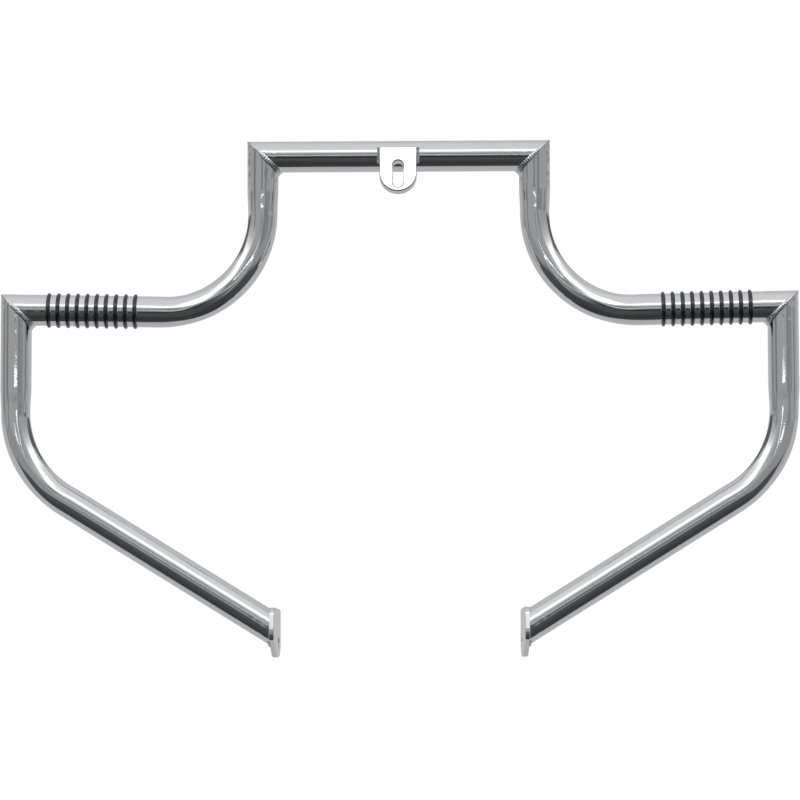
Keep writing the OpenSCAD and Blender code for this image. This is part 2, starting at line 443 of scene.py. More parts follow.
@dataclass(frozen=True)
class BarSizes:
    """The bar's driving sizes in millimetres and degrees, and the points that follow from them.

    Points in the bar's plane are (x, z) from the middle of the crossbar, on the right half.
    """

    tube_r: float = 15.875
    bend_draw: float = 1.0
    bend_taper: float = 25.0
    bend_flare: float = 40.0
    flare_lead: float = 31.0
    half_shoulder: float = 139.5
    arm_drop: float = 157.0
    arm_rise: float = 1.1
    shoulder_bend_r: float = 100.5
    half_leg: float = 392.5
    leg_straight: float = 105.0
    leg_bend_r: float = 106.0
    strut_slope: float = 31.8
    half_end: float = 131.5
    end_toe: float = 4.0
    tab_tilt: float = 13.0
    tab_contact: float = 29.0
    top_mitre: float = 45.0
    ring_count: int = 10
    ring_pitch: float = 9.85
    ring_inset: float = 33.8
    ring_cord: float = 3.6
    ring_proud: float = 2.0
    ring_air: float = 0.05
    lip_depth: float = 0.16
    lip_width: float = 0.3

    @property
    def bar(self) -> Pair:
        """The crossbar's middle, which rests on the leaning tab's back face.

        Returns:
            Its Y and Z in mm.
        """
        cosine, sine = heading(self.tab_tilt)
        contact, r = self.tab_contact, self.tube_r
        return contact * sine + r * cosine, contact * cosine - r * sine

    @property
    def top_corner(self) -> Array:
        """Where the crossbar's and a shoulder's centrelines meet."""
        return np.array([self.half_shoulder, 0.0])

    @property
    def outer_corner(self) -> Array:
        """Where an arm's and a leg's centrelines meet."""
        return np.array([self.half_leg, -self.arm_drop])

    @property
    def outer_mitre(self) -> float:
        """The angle between an arm and its outer mitre."""
        return (90 - self.arm_rise) / 2

    @property
    def shoulder_bend(self) -> Bend:
        """The shoulder's bend, from the upright into the arm.

        Returns:
            The bend.
        """
        x = self.half_shoulder + self.shoulder_bend_r
        rise = math.radians(self.arm_rise)
        arm_z = -self.arm_drop - (self.half_leg - x) * math.tan(rise)
        centre = np.array([x, arm_z + self.shoulder_bend_r / math.cos(rise)])
        return Bend(centre, self.shoulder_bend_r, 180, 270 + self.arm_rise)

    @property
    def leg_bend(self) -> Bend:
        """The leg's bend, from the upright into the strut."""
        centre = self.outer_corner - np.array([self.leg_bend_r, self.leg_straight])
        return Bend(centre, self.leg_bend_r, 0, self.strut_slope - 90)

    @property
    def end_point(self) -> Array:
        """Middle of the strut's cut end.

        Returns:
            The point.
        """
        start = self.leg_bend.end
        fall = (start[0] - self.half_end) * math.tan(math.radians(self.strut_slope))
        return np.array([self.half_end, start[1] - fall])

    @property
    def ring_r(self) -> float:
        """Radius of a seated ring's cord centre."""
        return self.tube_r + self.ring_proud - self.ring_cord / 2

    @property
    def ring_spots(self) -> Array:
        """Distances of the rings from the outer corner."""
        return self.ring_inset + self.ring_pitch * np.arange(self.ring_count)

    def in_world(self, plane: Array, depth: Array, side: Side) -> Array:
        """Points of the bar's plane, and how far they lie behind it, in mm, as metres."""
        bar_y, bar_z = self.bar
        return mirrored(plane + np.array([0, bar_z]), depth + bar_y, side) * MM


@dataclass(frozen=True)
class Wave:
    """A warp wave, in mm: its size, its length along the tube, its waves round it and its phase."""

    size: float
    pitch: float
    count: int
    phase: float

    def height(self, off: Array, turn: Array) -> Array:
        """The wave size x sin(2 pi off / pitch + count x turn + phase)."""
        return self.size * np.sin(FULL_TURN * off / self.pitch + self.count * turn + self.phase)


@dataclass(frozen=True)
class Dent:
    """A long shallow dent beside a weld, in mm: its place, depth, half length and half width.

    radius is the tube's, rounded, and turns an angle into a width.
    """

    off: float
    degrees: float
    depth: float
    half_length: float
    half_width: float
    radius: float = 15.9

    def height(self, off: Array, turn: Array) -> Array:
        """The dent -depth x exp(-(along / half length)^2 - (round / half width)^2).

        Args:
            off: Distance from the weld, in mm.
            turn: Angle round the tube.

        Returns:
            Its height in mm.
        """
        angle = (turn - math.radians(self.degrees) + math.pi) % FULL_TURN - math.pi
        along = (off - self.off) / self.half_length
        return -self.depth * np.exp(-(along**2) - (angle * self.radius / self.half_width) ** 2)


WARP_REACH = 24.0
WARPS = (
    Wave(0.075, 19, 3, 0.4),
    Wave(0.045, 12, -5, 2.1),
    Wave(0.036, 9.5, 4, 4.0),
    Wave(0.024, 7.5, 7, 1.2),
)
DRAW_LINES = (
    Wave(0.085, 170, 8, 0.3),
    Wave(0.070, 110, -13, 2.6),
    Wave(0.042, 75, 19, 4.4),
    Wave(0.035, 58, 3, 1.1),
)
DENTS = (
    Dent(26, -50, 0.26, 7, 1.9),
    Dent(19, -74, 0.12, 5, 2.0),
    Dent(34, -68, 0.14, 8, 2.0),
)


@dataclass
class Run:
    """A tube's centreline as rows: point, heading and inner side in the bar's plane, and radius.

    bent is 1 where a row lies in the bend and 0 away from it, and warped holds how strongly the
    welds at the two ends have drawn the tube's skin.
    """

    point: Array
    tangent: Array
    inner: Array
    radius: Array
    bent: Array
    warped: Pair
    dents: tuple[Dent, ...] = ()

    def along(self) -> Array:
        """Distance of each row from the first one."""
        steps = np.linalg.norm(np.diff(self.point, axis=0), axis=1)
        return np.concatenate([[0], np.cumsum(steps)])

    def warp(self, spot: Array, turn: Array) -> Array:
        """Height of the bend's draw lines, the dents, and the warps beside the two welds.

        The warps die away from a weld by exp(-(distance / reach)^2).

        Args:
            spot: Distance from the tube's first row, in mm.
            turn: Angle round the tube.

        Returns:
            The height above the drawn tube, in mm.
        """
        along = self.along()
        lines = sum(line.height(spot, turn) for line in DRAW_LINES)
        height = np.interp(spot, along, self.bent) * lines
        for strength, off, flip in zip(self.warped, (spot, along[-1] - spot), (1, -1)):
            waves = sum(wave.height(off, turn * flip) for wave in WARPS)
            height = height + strength * np.exp(-((off / WARP_REACH) ** 2)) * waves
        return height + sum(dent.height(spot, turn) for dent in self.dents)

    def skin(self, sizes: BarSizes, side: Side, starts: Array, ends: Array, turn: Array) -> Surface:
        """The tube's surface: each row is a circle round the centreline, slid along its straight.

        A row's circle is radius x (cos turn x inner + sin turn x Y). The first and last rows slide
        along the tube by starts and ends, so that they lie in the plane of the joint there. The
        normals follow from the radius and from the warp's rise over a tiny step each way.

        Args:
            sizes: The bar's sizes.
            side: The half that the tube is on.
            starts: Slide of each row and angle at the first end, in mm.
            ends: The same at the last end.
            turn: Angles round the tube, from its inner side.

        Returns:
            The surface with its normals.
        """
        cosine, sine = np.cos(turn), np.sin(turn)
        along, tiny = self.along(), 0.05
        spot = along[:, None] + starts + ends
        lift = self.warp(spot, turn)
        radius = self.radius[:, None] + lift
        inner, ahead = self.inner[:, None], self.tangent[:, None]
        flat = self.point[:, None] + ahead * (starts + ends)[..., None]
        flat = flat + (radius * cosine)[..., None] * inner
        slope = np.gradient(self.radius, along)[:, None]
        slope = slope + (self.warp(spot + tiny, turn) - lift) / tiny
        twist = (self.warp(spot, turn + tiny / sizes.tube_r) - lift) / tiny
        facing = (cosine + twist * sine)[..., None] * inner - slope[..., None] * ahead
        normals = mirrored(facing, sine - twist * cosine, side)
        return Surface(sizes.in_world(flat, radius * sine, side), unit(normals))


@dataclass
class TubeFrame:
    """The five tubes: a straight crossbar, two shoulders bent into arms and two bent legs.

    slide is how much of a tube's end is slid into its joint, gentle how much beside a bend has
    rows of its own, and plain_from where the crossbar's plain middle begins. The warps are how
    strongly the welds at a tube's two ends have drawn its skin.
    """

    sizes: BarSizes
    chrome: Material
    around: int = 192
    slide: float = 28.0
    slide_rows: int = 29
    gentle: float = 26.0
    gentle_rows: int = 20
    plain_from: float = 40.0
    plain_rows: int = 24
    crossbar_warp: Pair = (0.8, 0.8)
    shoulder_warp: Pair = (0.32, 0.55)
    leg_warp: Pair = (0.28, 0.5)

    @property
    def turn(self) -> Array:
        """The angles round a tube, from its inner side."""
        return turns(self.around)

    def mitred(self, half_angle: float) -> Array:
        """How far a mitred end lies past its corner: r x cos t / tan(half angle) at angle t."""
        return self.sizes.tube_r / math.tan(math.radians(half_angle)) * np.cos(self.turn)

    def slid(self, distance: Array, reach: Array) -> Array:
        """Slide of each row and angle: all of the reach at the tube's end, fading away from it."""
        return np.clip(1 - distance / self.slide, 0, 1)[:, None] * reach

    def grooved(self, distance: Array) -> Array:
        """Depth of the ring grooves at a distance from the outer corner.

        Each groove is a round channel that fits the ring's cord, with a softly rounded lip.

        Args:
            distance: Distances along the arm, in mm.

        Returns:
            How far the surface lies below the tube's radius.
        """
        s = self.sizes
        off = np.abs(distance[:, None] - s.ring_spots).min(axis=1)
        channel = s.ring_cord / 2 + s.ring_air
        floor = np.sqrt(np.clip(channel**2 - off**2, 0, None)) - (s.ring_r - s.tube_r)
        lip = s.lip_depth * np.exp(-(((off - channel) / s.lip_width) ** 2))
        return np.clip(np.maximum(floor, lip), 0, None)

    def arm_stations(self, length: float) -> Array:
        """Distances from the outer corner at which the arm has rows, dense round each groove.

        Args:
            length: The arm's length.

        Returns:
            The rising distances.
        """
        near = np.array([-3, -2.5, -2.2, -2.0, -1.88, -1.8, -1.6, -1.2, -0.6, 0])
        near = np.concatenate([near, -near[-2::-1]])
        grooves = (self.sizes.ring_spots[:, None] + near).ravel()
        plain = spans(
            (0, self.slide, self.slide_rows), (length - self.gentle, length, self.gentle_rows)
        )
        return np.unique(np.round(np.clip(np.concatenate([grooves, plain]), 0, length), 3))

    def bent_run(
        self,
        bend: Bend,
        up: Array,
        on: Array,
        warped: Pair,
        dents: tuple[Dent, ...] = (),
    ) -> tuple[Run, Array, Array]:
        """A tube that comes down upright, bends and goes on straight.

        The tube is drawn in by draw x (1 - step(before / taper + after / flare)), where before is
        the way still to go to the bend, and after is the way gone since the tube began to flare
        out again, a little before the bend's end.

        Args:
            bend: The bend.
            up: Rising distances along the upright from the corner, the last one at the bend.
            on: Rising distances along the straight from the bend, the last one at the tube's end.
            warped: How strongly the welds at the two ends have drawn the skin.
            dents: The dents beside the first weld.

        Returns:
            The run, and the distance of each row from its first and from its last end, which is
            endless for rows outside the straight there.
        """
        s = self.sizes
        row = np.clip(np.arange(1 - len(up), bend.rows + len(on) - 1), 0, bend.rows - 1)
        offset = np.concatenate([up[:-1] - up[-1], np.zeros(bend.rows), on[1:]])
        out = bend.out[row]
        ahead = bend.way * np.stack([-out[:, 1], out[:, 0]], axis=-1)
        point = bend.centre + bend.radius * out + offset[:, None] * ahead
        before = np.clip(-offset, 0, None)
        gone = np.linspace(0, bend.length, bend.rows)[row] + offset
        after = np.clip(gone - bend.length + s.flare_lead, 0, None)
        bent = 1 - smooth(before / s.bend_taper + after / s.bend_flare)
        radius = s.tube_r - s.bend_draw * bent
        from_first = np.where(offset < 0, up[-1] + offset, np.inf)
        from_last = np.where(offset > 0, on[-1] - offset, np.inf)
        run = Run(point, ahead, bend.way * out, radius, bent, warped, dents)
        return run, from_first, from_last

    def crossbar(self) -> Surface:
        """The straight crossbar, mitred at both ends.

        Returns:
            The tube's surface.
        """
        s = self.sizes
        half, plain = s.half_shoulder, s.half_shoulder - self.plain_from
        x = spans((-half, self.slide - half, self.slide_rows), (-plain, plain, self.plain_rows))
        x = np.unique(np.round(np.concatenate([x, -x]), 3))
        point = np.stack([x, 0 * x], axis=-1)
        ahead, inner = (np.tile(way, (len(x), 1)) for way in ([1.0, 0.0], [0.0, -1.0]))
        run = Run(point, ahead, inner, np.full(len(x), s.tube_r), 0 * x, self.crossbar_warp)
        reach = self.mitred(s.top_mitre)
        starts, ends = self.slid(half + x, reach), self.slid(half - x, -reach)
        return run.skin(s, Side.RIGHT, starts, ends, self.turn)

    def shoulder(self, side: Side) -> Surface:
        """A shoulder tube: upright, bend and grooved arm.

        Args:
            side: The half that it is on.

        Returns:
            The tube's surface.
        """
        s = self.sizes
        bend = s.shoulder_bend
        depth = s.top_corner[1] - bend.centre[1]
        up = spans((0, self.slide, self.slide_rows), (self.slide, depth, self.plain_rows))
        length = np.linalg.norm(s.outer_corner - bend.end)
        on = length - self.arm_stations(length)[::-1]
        run, from_top, from_outer = self.bent_run(bend, up, on, self.shoulder_warp, DENTS)
        run.radius = run.radius - self.grooved(from_outer)
        starts = self.slid(from_top, self.mitred(s.top_mitre))
        ends = self.slid(from_outer, -self.mitred(s.outer_mitre))
        return run.skin(s, side, starts, ends, self.turn)

    def leg(self, side: Side) -> Surface:
        """A leg tube: upright, bend and strut, cut off where the end tab stands.

        Args:
            side: The half that it is on.

        Returns:
            The tube's surface.
        """
        s = self.sizes
        bend, depth = s.leg_bend, s.leg_straight
        length = np.linalg.norm(s.end_point - bend.end)
        up = spans((0, self.slide, self.slide_rows), (depth - self.gentle, depth, self.gentle_rows))
        on = spans(
            (0, self.gentle, self.gentle_rows), (length - self.slide, length, self.slide_rows)
        )
        run, from_outer, from_end = self.bent_run(bend, up, on, self.leg_warp)
        toe = math.tan(math.radians(s.end_toe))
        across = np.cos(self.turn) * run.inner[-1][0] + np.sin(self.turn) * toe
        starts = self.slid(from_outer, self.mitred(s.outer_mitre))
        ends = self.slid(from_end, -s.tube_r * across / run.tangent[-1][0])
        return run.skin(s, side, starts, ends, self.turn)

    def build(self) -> None:
        """Makes the five tubes in place of their CAD nodes."""
        stand(self.crossbar().build("crossbar_tube", self.chrome), "crossbar")
        for side in Side:
            for part, surface in (("shoulder", self.shoulder(side)), ("leg", self.leg(side))):
                name = f"{side.word}_{part}"
                stand(surface.build(name, self.chrome), f"{name}_tube")


def stand(piece: bpy.types.Object, node: str) -> None:
    """Lets a piece ride on the bar in place of a CAD node, and reports it.

    Args:
        piece: The new piece.
        node: The CAD node that it stands for.
    """
    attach(piece, "root")
    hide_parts(node)
    log.info("%s: %d faces, for %s", piece.name, len(piece.data.polygons), node)


# Rings


@dataclass
class FootRings:
    """The rubber rings that sit in the arms' grooves."""

    sizes: BarSizes
    rubber: Material
    around: int = 128
    section: int = 24

    def ring(self, side: Side, distance: float) -> Surface:
        """One ring: a round cord on a circle round the arm.

        The cord's surface is (ring radius + cord radius x cos v) round the arm and
        cord radius x sin v along it.

        Args:
            side: The arm's half.
            distance: The ring's distance from the outer corner, in mm.

        Returns:
            The ring's surface.
        """
        s = self.sizes
        inward, across = heading(180 + s.arm_rise), heading(90 + s.arm_rise)
        u, v = np.meshgrid(turns(self.around), turns(self.section), indexing="ij")
        cord = s.ring_cord / 2
        away, along = s.ring_r + cord * np.cos(v), cord * np.sin(v)
        centre = s.outer_corner + inward * distance
        plane = centre + (away * np.cos(u))[..., None] * across + along[..., None] * inward
        flat = (np.cos(v) * np.cos(u))[..., None] * across + np.sin(v)[..., None] * inward
        normals = mirrored(flat, np.cos(v) * np.sin(u), side)
        return Surface(s.in_world(plane, away * np.sin(u), side), unit(normals), ring=True)

    def build(self) -> None:
        """Makes every ring in place of its CAD node."""
        for side in Side:
            for number, distance in enumerate(self.sizes.ring_spots, 1):
                name, node = (f"{side.word}_{kind}_{number:02d}" for kind in ("ring", "o_ring"))
                stand(self.ring(side, distance).build(name, self.rubber), node)


# Welds


def chance_line(
    chance: np.random.Generator, along: Array, knots: int, low: float, high: float
) -> Array:
    """A value that wanders along a line, through evenly spaced chance values from low to high."""
    places = np.linspace(along[0], along[-1], knots)
    return np.interp(along, places, chance.uniform(low, high, knots))


@dataclass(frozen=True)
class Bead:
    """A weld bead laid along a seam, in metres.

    on_first and on_second are the lines where the bead meets the two pieces, crown is the line
    that pulls its section outwards, root is a line inside the joint that closes its underside,
    and ripple is the height of the ripples along it. sag is how far a ripple lags in the middle.
    """

    on_first: Array
    on_second: Array
    crown: Array
    root: Array
    ripple: Array
    seed: int
    pitch: float = 0.0024
    sag: float = 3.2
    section: int = 15

    def surface(self) -> Surface:
        """The bead's closed surface.

        A section is the curve (1-v)^2 A + 2v(1-v) C + v^2 B from one edge to the other, raised by
        ripples that follow sin(2 pi (length / pitch - sag v(1-v))), and closed through the root.

        Returns:
            The surface, without exact normals.
        """
        v = np.linspace(0, 1, self.section)[None, :, None]
        arch = (v * (1 - v))[..., 0]
        lines = (self.on_first, self.on_second, self.crown, self.root)
        a, b, c, root = (line[:, None] for line in lines)
        top = (1 - v) ** 2 * a + 2 * v * (1 - v) * c + v**2 * b
        steps = np.linalg.norm(np.diff(self.crown, axis=0), axis=1)
        length = np.concatenate([[0], np.cumsum(steps)])
        chance = np.random.default_rng(self.seed)
        beat = chance_line(chance, length, 9, -0.5, 0.5)
        lump = chance_line(chance, length, 27, 0.3, 1.3)
        phase = length[:, None] / self.pitch + beat[:, None] - self.sag * arch
        wave = (np.sin(FULL_TURN * phase) * 0.5 + 0.5) ** 1.5 * 4 * arch
        top = top + unit(c - root) * (wave * (lump * self.ripple)[:, None])[..., None]
        return Surface(np.concatenate([top, (b + root) / 2, root, (a + root) / 2], axis=1))


@dataclass
class Welds:
    """The beads at the four mitres: heavy round the inner half, dressed nearly flush on the outer.

    heavy and dressed are the bead's half widths there and height and dressed_height how far it
    stands up, in mm; corner_leg is its fillet's leg in the inner corner. The heavy half starts
    where the cosine of the angle passes heavy_start, and blends in over heavy_blend; the fillet
    grows with the cosine to the fillet_power. wander and ragged are
    the knots, lowest and highest value of its dressed edges' long and short unevenness, of which
    the heavy half loses the share steadied. ripples are their height in metres on the dressed
    half, and what the heavy half adds.
    """

    sizes: BarSizes
    chrome: Material
    heavy: float = 2.9
    dressed: float = 0.9
    corner_leg: float = 4.6
    heavy_start: float = -0.42
    heavy_blend: float = 0.34
    fillet_power: float = 2.2
    crown_share: float = 0.66
    height: float = 1.05
    dressed_height: float = 0.22
    wander: tuple[int, float, float] = (17, -0.6, 2.4)
    ragged: tuple[int, float, float] = (61, -0.3, 0.4)
    steadied: float = 0.65
    longest: float = 6.0
    ripples: Pair = (0.00006, 0.00042)
    root_share: float = 0.93
    rows: int = 320

    def mitre(self, corner: Array, first: float, second: float, side: Side, seed: int) -> Surface:
        """The bead round a mitre.

        At angle t from the inner side, both tubes pass through the seam point, which lies
        radius x cos t / tan(half angle) along each tube and radius x cos t to its inner side. The
        bead reaches its half width onto each tube, and a fillet's leg in the inner corner. Its
        crown stands off the seam along the mean of the two tubes' normals.

        Args:
            corner: Where the centrelines meet.
            first: Direction in degrees in which the first tube leaves.
            second: Direction in which the second one leaves.
            side: The half that it is on.
            seed: Chance seed of its edges and ripples.

        Returns:
            The bead's surface.
        """
        s = self.sizes
        t = np.radians(np.linspace(-178, 178, self.rows))
        reach = s.tube_r * np.cos(t) / math.tan(math.radians((second - first) / 2))
        inner = smooth((np.cos(t) - self.heavy_start) / self.heavy_blend)
        deep = np.clip(np.cos(t), 0, 1) ** self.fillet_power
        width = self.dressed + (self.heavy - self.dressed) * inner
        width = width + (self.corner_leg - self.heavy) * deep
        chance = np.random.default_rng(seed)
        across, depth = np.cos(t)[:, None], s.tube_r * np.sin(t)
        ways = (heading(first), heading(second))
        sides = (heading(first + 90), heading(second - 90))
        edges = []
        for way, inward in zip(ways, sides):
            wobble = sum(chance_line(chance, t, *line) for line in (self.wander, self.ragged))
            edge = reach + width + wobble * (1 - self.steadied * inner)
            flat = way * np.clip(edge, None, reach + self.longest)[:, None]
            edges.append(s.in_world(corner + flat + inward * s.tube_r * across, depth, side))
        mean = (sides[0] + sides[1]) / 2 * across
        length = np.sqrt((mean**2).sum(1) + np.sin(t) ** 2)
        normal, normal_y = mean / length[:, None], np.sin(t) / length
        chord = width * (normal @ (ways[0] + ways[1])) / 2
        rise = np.where(chord > 0, self.crown_share * chord, -chord) + self.dressed_height
        rise = rise + (self.height - self.dressed_height) * inner * (1 - deep)
        seam = ways[0] * reach[:, None] + sides[0] * s.tube_r * across
        crown = corner + seam + normal * rise[:, None]
        crown = s.in_world(crown, depth + normal_y * rise, side)
        root = s.in_world(corner + seam * self.root_share, depth * self.root_share, side)
        ripple = (self.ripples[0] + self.ripples[1] * inner) * (1 - 0.5 * deep)
        return Bead(edges[0], edges[1], crown, root, ripple, seed).surface()

    def build(self) -> None:
        """Makes the mitres' beads in place of their CAD nodes."""
        s = self.sizes
        corners = (("top", s.top_corner, 180, 3), ("outer", s.outer_corner, 180 + s.arm_rise, 7))
        for side in Side:
            for place, corner, first, seed in corners:
                bead = self.mitre(corner, first, 270, side, seed + side.value)
                made = bead.build(f"{side.word}_{place}_bead", self.chrome)
                stand(made, f"{side.word}_{place}_corner_weld")


# Tabs


@dataclass(frozen=True)
class Outline:
    """A closed outline in a plate's plane, in mm, with its outward unit normals."""

    points: Array
    normals: Array

    @staticmethod
    def rounded(corners: list[Pair], radii: list[float], steps: int = 24) -> "Outline":
        """A polygon, run anticlockwise, with an arc at each corner.

        Args:
            corners: Its sharp corners.
            radii: The radius at each.
            steps: Points on each arc.

        Returns:
            The outline.
        """
        corner, radius = np.array(corners, float), np.array(radii)
        before = unit(np.roll(corner, 1, axis=0) - corner)
        after = unit(np.roll(corner, -1, axis=0) - corner)
        half = np.arccos((before * after).sum(1)) / 2
        middle = corner + unit(before + after) * (radius / np.sin(half))[:, None]
        start = np.stack([before[:, 1], -before[:, 0]], axis=-1)
        finish = np.stack([-after[:, 1], after[:, 0]], axis=-1)
        start *= -np.sign((start * after).sum(1))[:, None]
        finish *= -np.sign((finish * before).sum(1))[:, None]
        first = np.arctan2(start[:, 1], start[:, 0])
        sweep = np.arctan2(finish[:, 1], finish[:, 0]) - first
        sweep = (sweep + math.pi) % FULL_TURN - math.pi
        angle = first[:, None] + sweep[:, None] * np.linspace(0, 1, steps)
        normal = compass(angle)
        point = middle[:, None] + normal * radius[:, None, None]
        return Outline(point.reshape(-1, 2), normal.reshape(-1, 2))

    @staticmethod
    def slot(
        half_length: float, radius: float, centre: Pair = (0, 0), steps: int = 60
    ) -> "Outline":
        """An upright slot with round ends, or a round hole.

        Args:
            half_length: From its middle to an end's centre, 0 for a hole.
            radius: The ends' radius.
            centre: Its middle.
            steps: Points on each half.

        Returns:
            The outline.
        """
        halves = ((0, math.pi), (math.pi, FULL_TURN))
        angle = np.concatenate([np.linspace(*half, steps) for half in halves])
        normal = compass(angle)
        lift = np.repeat([half_length, -half_length], steps)
        point = normal * radius + np.stack([0 * lift, lift], axis=-1)
        return Outline(point + np.array(centre), normal)

    def swept(self, centre: Array, angles: Array) -> "Outline":
        """The outline's points in the given directions from a centre inside it.

        Args:
            centre: The centre.
            angles: Rising directions over one turn, in radians.

        Returns:
            The outline at those directions.
        """
        off = self.points - centre
        polar = np.unwrap(np.arctan2(off[:, 1], off[:, 0]))
        keep = np.concatenate([[True], np.diff(polar) > 1e-9])
        polar, point, normal = polar[keep], self.points[keep], self.normals[keep]
        polar = np.concatenate([polar - FULL_TURN, polar, polar + FULL_TURN])
        wrapped = angles % FULL_TURN
        pick = [np.interp(wrapped, polar, np.tile(v, 3)) for v in (*point.T, *normal.T)]
        return Outline(np.stack(pick[:2], axis=-1), unit(np.stack(pick[2:], axis=-1)))


@dataclass
class Plate:
    """A flat plate between an outer outline and an opening, with bevelled edges.

    Its plane is given by two axes and its thickness grows along a third, all in the part's frame.
    softened is the share of a bevel that its rounded edges take up.
    """

    outer: Outline
    opening: Outline
    centre: Array
    thickness: float
    origin: Array
    axes: Array
    front_bevel: float
    back_bevel: float
    softened: float = 0.35

    def surface(self) -> Surface:
        """The plate's closed surface, as one loop of stations round the plate's section.

        The stations run up the opening's wall, over its front bevel, over the front face, over the
        outer bevel, down the side and back over the back face. A bevel of size e is flat at 45
        degrees, and it turns into the wall and the face over a short softened edge.

        Returns:
            The surface with exact normals, so that its faces stay flat mirrors.
        """
        offs = [outline.points - self.centre for outline in (self.outer, self.opening)]
        parts = [np.arctan2(off[:, 1], off[:, 0]) for off in offs]
        angles = np.concatenate([*parts, np.linspace(0, FULL_TURN, 96)]) % FULL_TURN
        angles = np.unique(np.round(angles, 5))
        outer, opening = (o.swept(self.centre, angles) for o in (self.outer, self.opening))
        stations = []
        for edge, rim in ((opening, 1), (outer, -1)):
            legs = []
            for e, top in ((self.back_bevel, 0.0), (self.front_bevel, self.thickness)):
                way, soft = (1 if top else -1), self.softened * e
                in_by, down_by = (0, soft, e - soft, e + soft), (e + soft, e - soft, soft, 0)
                profile = zip(in_by, down_by, (0.0, 0.25, 0.25, 0.5))
                legs.append([(edge, rim * g, top - way * d, rim, way, q) for g, d, q in profile])
            back, front = legs
            stations += (back[::-1] + front) if rim == 1 else (front[::-1] + back)
        rows, normals = [], []
        across, up, thick = self.axes
        for edge, shift, height, rim, way, q in stations:
            flat = edge.points + edge.normals * shift
            place = self.origin + flat[:, :1] * across + flat[:, 1:] * up + height * thick
            side = -rim * (edge.normals[:, :1] * across + edge.normals[:, 1:] * up)
            rows.append(place * MM)
            normals.append(side * math.cos(q * math.pi) + way * math.sin(q * math.pi) * thick)
        return Surface(np.array(rows), unit(np.array(normals)), ring=True)


@dataclass
class Tabs:
    """The leaning centre tab with its slot, and the two drilled end tabs."""

    sizes: BarSizes
    chrome: Material
    tab_half: float = 19.0
    tab_thick: float = 9.5
    tab_top: float = 30.0
    tab_corner: float = 1.5
    slot_half: float = 9.25
    slot_r: float = 5.25
    tab_edge: float = 1.05
    tab_back_edge: float = 0.3
    end_thick: float = 5.3
    end_depth: float = 60.0
    end_drop: float = 30.0
    end_foot: float = 28.0
    end_nose: float = 13.0
    end_lip: float = 1.0
    hole_edge: float = 16.0
    end_hole_r: float = 5.25
    end_edge: float = 0.6

    def centre_tab(self) -> Surface:
        """The centre tab: a round lower end, a square upper one and an upright slot.

        Returns:
            The tab's surface.
        """
        cosine, sine = heading(self.sizes.tab_tilt)
        w, top, corner, sharp = self.tab_half, self.tab_top, self.tab_corner, 0.01
        normal = compass(np.linspace(math.pi, FULL_TURN, 97))
        corners = [(w, 0), (w, top), (-w, top), (-w, 0)]
        head = Outline.rounded(corners, [sharp, corner, corner, sharp])
        count = len(head.points) // 4
        upper = slice(count, 3 * count)
        outer = Outline(
            np.vstack([normal * w, head.points[upper]]), np.vstack([normal, head.normals[upper]])
        )
        slot = Outline.slot(self.slot_half, self.slot_r)
        axes = np.array([[1, 0, 0], [0, sine, cosine], [0, -cosine, sine]])
        edges = (self.tab_edge, self.tab_back_edge)
        return Plate(outer, slot, np.zeros(2), self.tab_thick, np.zeros(3), axes, *edges).surface()

    def end_tab(self, side: Side) -> Surface:
        """An end tab, standing across the strut's cut end.

        Its corners run anticlockwise from the nose. The last one bows the front edge out, by
        a little over the line from the nose to the rounded top.

        Args:
            side: The half that it is on.

        Returns:
            The tab's surface.
        """
        s = self.sizes
        front, drop = -s.tube_r, self.end_drop
        top = s.tube_r / math.cos(math.radians(s.strut_slope)) + self.end_lip
        back = front + self.end_depth
        corners = [
            (front + 1.4, -self.end_nose),
            (front + self.end_foot, -drop),
            (back, -drop),
            (back, top),
            (front + 5.2, top),
            (front - 0.3, -5.5),
        ]
        outer = Outline.rounded(corners, [8, 4, self.hole_edge, 4, 9, 16])
        centre = (back - self.hole_edge, self.hole_edge - drop)
        hole = Outline.slot(0, self.end_hole_r, centre)
        cosine, sine = heading(s.end_toe)
        out = np.array([cosine * side.value, sine, 0])
        axes = np.array([[-sine * side.value, cosine, 0], [0, 0, 1], out])
        origin = s.in_world(s.end_point, np.zeros(()), side) / MM - out * self.end_thick
        edges = (self.end_edge, self.end_edge)
        return Plate(
            outer, hole, np.array(centre), self.end_thick, origin, axes, *edges
        ).surface()

    def build(self) -> None:
        """Makes the tabs in place of their CAD nodes."""
        made = self.centre_tab().build("centre_tab_plate", self.chrome)
        stand(made, "centre_mount_tab")
        for side in Side:
            made = self.end_tab(side).build(f"{side.word}_end_plate", self.chrome)
            stand(made, f"{side.word}_end_tab")


# Studio


def from_screen(value: float) -> float:
    """Light that the chrome plate shows as a given value on the screen.

    It is the sRGB curve's ((v + 0.055) / 1.055)^2.4, or v / 12.92 in the darkest part, over the
    plate's share of 0.79.

    Args:
        value: The screen value, 0 to 255.

    Returns:
        The light.
    """
    share = value / 255
    linear = share / 12.92 if share <= 0.04045 else ((share + 0.055) / 1.055) ** 2.4
    return linear / 0.79


